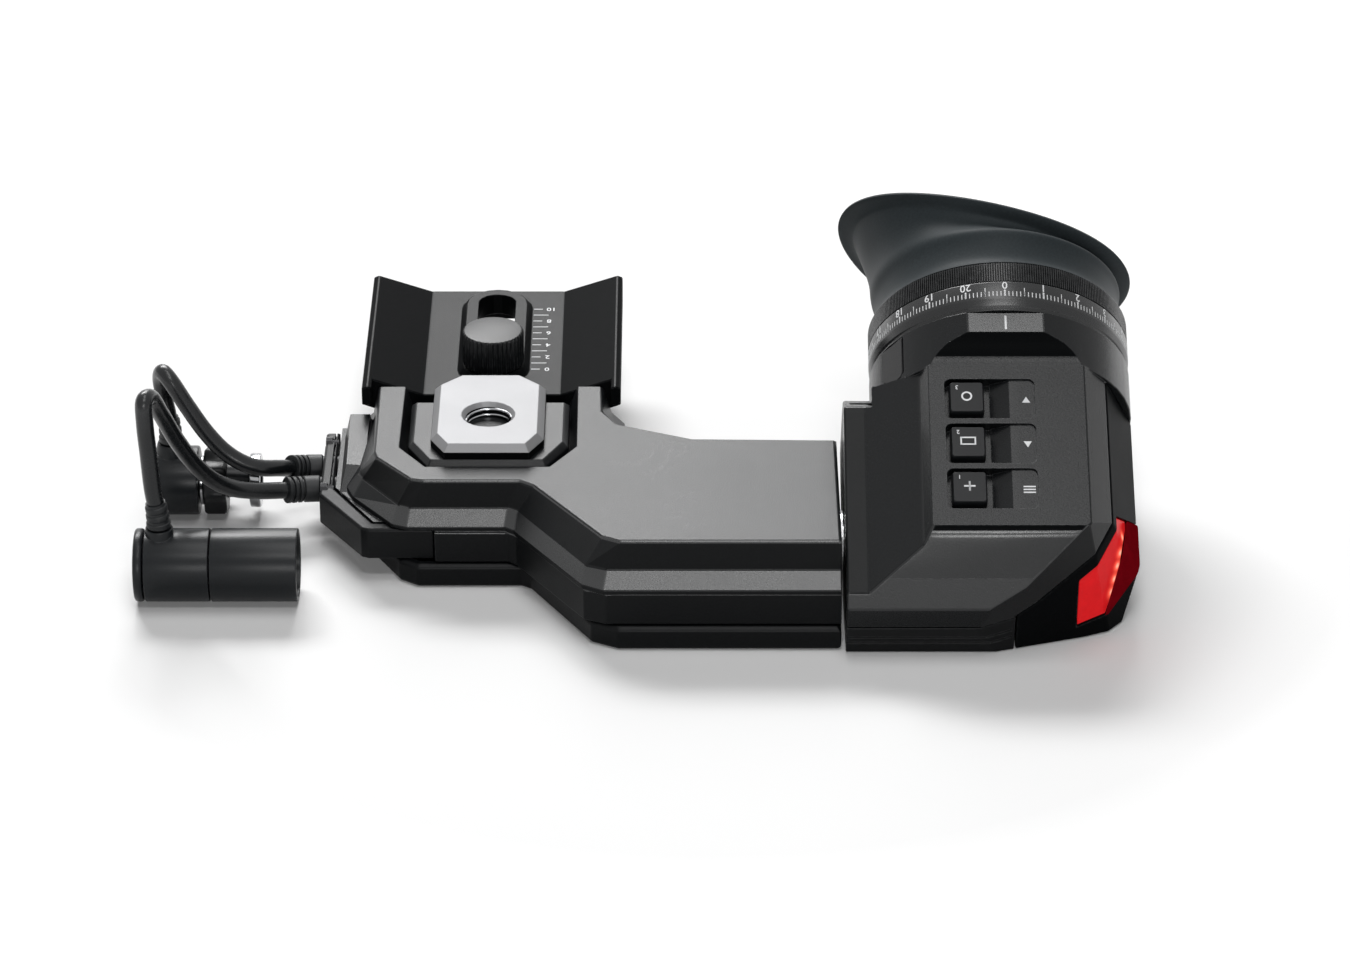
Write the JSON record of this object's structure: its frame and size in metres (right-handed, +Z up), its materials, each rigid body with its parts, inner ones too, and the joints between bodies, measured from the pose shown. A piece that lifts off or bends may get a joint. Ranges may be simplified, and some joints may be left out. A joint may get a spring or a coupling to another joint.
{
  "type": "electronic viewfinder",
  "caption": "Electronic viewfinder: a faceted head with eyecup, focus ring and tally light tilts on the end of a stepped arm with a mounting block, a slotted bracket and two captive cables.",
  "frame": {"origin": "centre of the foot of the viewfinder's box, measured without the two cables and their plugs", "axes": "+X along the arm from the cable end to the eyepiece head, +Y from the arm's front towards the slotted bracket, +Z up"},
  "size_m": [0.2598, 0.1584, 0.0868],
  "materials": {
    "arm_upper_shell": "fine-grained charcoal powder coat",
    "arm_lower_cover": "dark satin coat",
    "cover_screw_1": "blackened",
    "cover_screw_2": "blackened",
    "cover_screw_3": "blackened",
    "cover_screw_4": "blackened",
    "side_band": "dark satin coat",
    "end_screw_rear": "blackened",
    "end_screw_front": "blackened",
    "mount_block": "bead-blasted silver",
    "rear_bracket": "fine-grained charcoal powder coat",
    "tilt_bush": "turned",
    "rear_cable_relief": "matt",
    "front_cable_relief": "matt",
    "power_cable": "matt",
    "video_cable": "matt",
    "xlr_end_cap": "dark satin coat",
    "xlr_body": "dark satin coat",
    "xlr_sleeve": "dark satin coat",
    "xlr_pin_1": "gold-plated",
    "xlr_pin_2": "gold-plated",
    "xlr_pin_3": "gold-plated",
    "xlr_pin_4": "gold-plated",
    "xlr_relief": "matt",
    "bnc_body": "dark satin coat",
    "bnc_collar": "polished",
    "bnc_relief": "matt",
    "bnc_grip": "matt black",
    "bnc_lock_ring": "polished",
    "clamp_carriage": "turned",
    "thumb_screw": "dark satin coat",
    "head_upper_shell": "fine-grained charcoal powder coat",
    "head_lower_shell": "dark satin coat",
    "head_side_cover": "dark satin coat",
    "tally_lens": "deep red lens",
    "tally_window": "red lens",
    "tally_board": "circuit board",
    "sensor_window": "smoked window",
    "head_screw_1": "blackened",
    "head_screw_2": "blackened",
    "tilt_shaft": "turned",
    "friction_washer": "matt black",
    "spring_washer": "turned",
    "shaft_nut": "turned",
    "key_board": "circuit board",
    "main_board": "circuit board",
    "display_frame": "matt black",
    "display_panel": "dark display",
    "lens_sleeve": "dark satin coat",
    "key_1": "matt black",
    "key_2": "matt black",
    "key_3": "matt black",
    "focus_ring": "dark satin coat",
    "lens_cell": "matt black",
    "field_lens": "coated",
    "middle_lens": "coated",
    "eye_lens": "coated",
    "lens_retainer": "matt black",
    "eyecup": "matt",
    "eyecup_ring": "matt black"
  },
  "bodies": {
    "arm": {"arm_upper_shell": "arm_upper_shell", "arm_lower_cover": "arm_lower_cover", "cover_screw_1": "cover_screw_1", "cover_screw_2": "cover_screw_2", "cover_screw_3": "cover_screw_3", "cover_screw_4": "cover_screw_4", "side_band": "side_band", "end_screw_rear": "end_screw_rear", "end_screw_front": "end_screw_front", "mount_block": "mount_block", "rear_bracket": "rear_bracket", "tilt_bush": "tilt_bush", "rear_cable_relief": "rear_cable_relief", "front_cable_relief": "front_cable_relief", "power_cable": "power_cable", "video_cable": "video_cable", "xlr_end_cap": "xlr_end_cap", "xlr_body": "xlr_body", "xlr_sleeve": "xlr_sleeve", "xlr_pin_1": "xlr_pin_1", "xlr_pin_2": "xlr_pin_2", "xlr_pin_3": "xlr_pin_3", "xlr_pin_4": "xlr_pin_4", "xlr_relief": "xlr_relief", "bnc_body": "bnc_body", "bnc_collar": "bnc_collar", "bnc_relief": "bnc_relief"},
    "bnc_coupling": {"bnc_grip": "bnc_grip", "bnc_lock_ring": "bnc_lock_ring"},
    "carriage": {"clamp_carriage": "clamp_carriage"},
    "thumb_screw": {"thumb_screw": "thumb_screw"},
    "head": {"head_upper_shell": "head_upper_shell", "head_lower_shell": "head_lower_shell", "head_side_cover": "head_side_cover", "tally_lens": "tally_lens", "tally_window": "tally_window", "tally_board": "tally_board", "sensor_window": "sensor_window", "head_screw_1": "head_screw_1", "head_screw_2": "head_screw_2", "tilt_shaft": "tilt_shaft", "friction_washer": "friction_washer", "spring_washer": "spring_washer", "shaft_nut": "shaft_nut", "key_board": "key_board", "main_board": "main_board", "display_frame": "display_frame", "display_panel": "display_panel", "lens_sleeve": "lens_sleeve"},
    "key_1": {"key_1": "key_1"},
    "key_2": {"key_2": "key_2"},
    "key_3": {"key_3": "key_3"},
    "focus_ring": {"focus_ring": "focus_ring"},
    "lens_cell": {"lens_cell": "lens_cell", "field_lens": "field_lens", "middle_lens": "middle_lens", "eye_lens": "eye_lens", "lens_retainer": "lens_retainer"},
    "eyecup": {"eyecup": "eyecup", "eyecup_ring": "eyecup_ring"}
  },
  "joints": [
    {"name": "head_tilt", "type": "hinge", "parent": "arm", "child": "head", "pos_m": [0.03417, -0.04408, 0.014], "axis": [1, 0, 0], "range_deg": [-30, 75]},
    {"name": "focus_turn", "type": "hinge", "parent": "head", "child": "focus_ring", "pos_m": [0.07667, 0.00038, 0.0456], "axis": [0, 0.866, 0.5], "range_deg": [-140, 140]},
    {"name": "lens_focus", "type": "slide", "parent": "head", "child": "lens_cell", "axis": [0, 0.866, 0.5], "range_m": [-0.002, 0.002]},
    {"name": "eyecup_turn", "type": "hinge", "parent": "head", "child": "eyecup", "pos_m": [0.07667, 0.0099, 0.0511], "axis": [0, 0.866, 0.5], "continuous": true},
    {"name": "clamp_slide", "type": "slide", "parent": "arm", "child": "carriage", "axis": [0, 1, 0], "range_m": [0, 0.035]},
    {"name": "thumb_turn", "type": "hinge", "parent": "carriage", "child": "thumb_screw", "pos_m": [-0.05713, 0.03211, 0.03], "axis": [0, 0, 1], "continuous": true},
    {"name": "bnc_turn", "type": "hinge", "parent": "arm", "child": "bnc_coupling", "pos_m": [-0.12983, -0.00098, 0.0094], "axis": [1, 0, 0], "range_deg": [-45, 45]},
    {"name": "key_1_press", "type": "slide", "parent": "head", "child": "key_1", "axis": [0, 0.5, -0.866], "range_m": [0, 0.0008], "stiffness_N_per_m": 500, "springref_m": -0.0002},
    {"name": "key_2_press", "type": "slide", "parent": "head", "child": "key_2", "axis": [0, 0.5, -0.866], "range_m": [0, 0.0008], "stiffness_N_per_m": 500, "springref_m": -0.0002},
    {"name": "key_3_press", "type": "slide", "parent": "head", "child": "key_3", "axis": [0, 0.5, -0.866], "range_m": [0, 0.0008], "stiffness_N_per_m": 500, "springref_m": -0.0002}
  ],
  "couplings": [
    {"joint": "lens_focus", "follows": "focus_turn", "m_per_rad": 0.00080214}
  ]
}
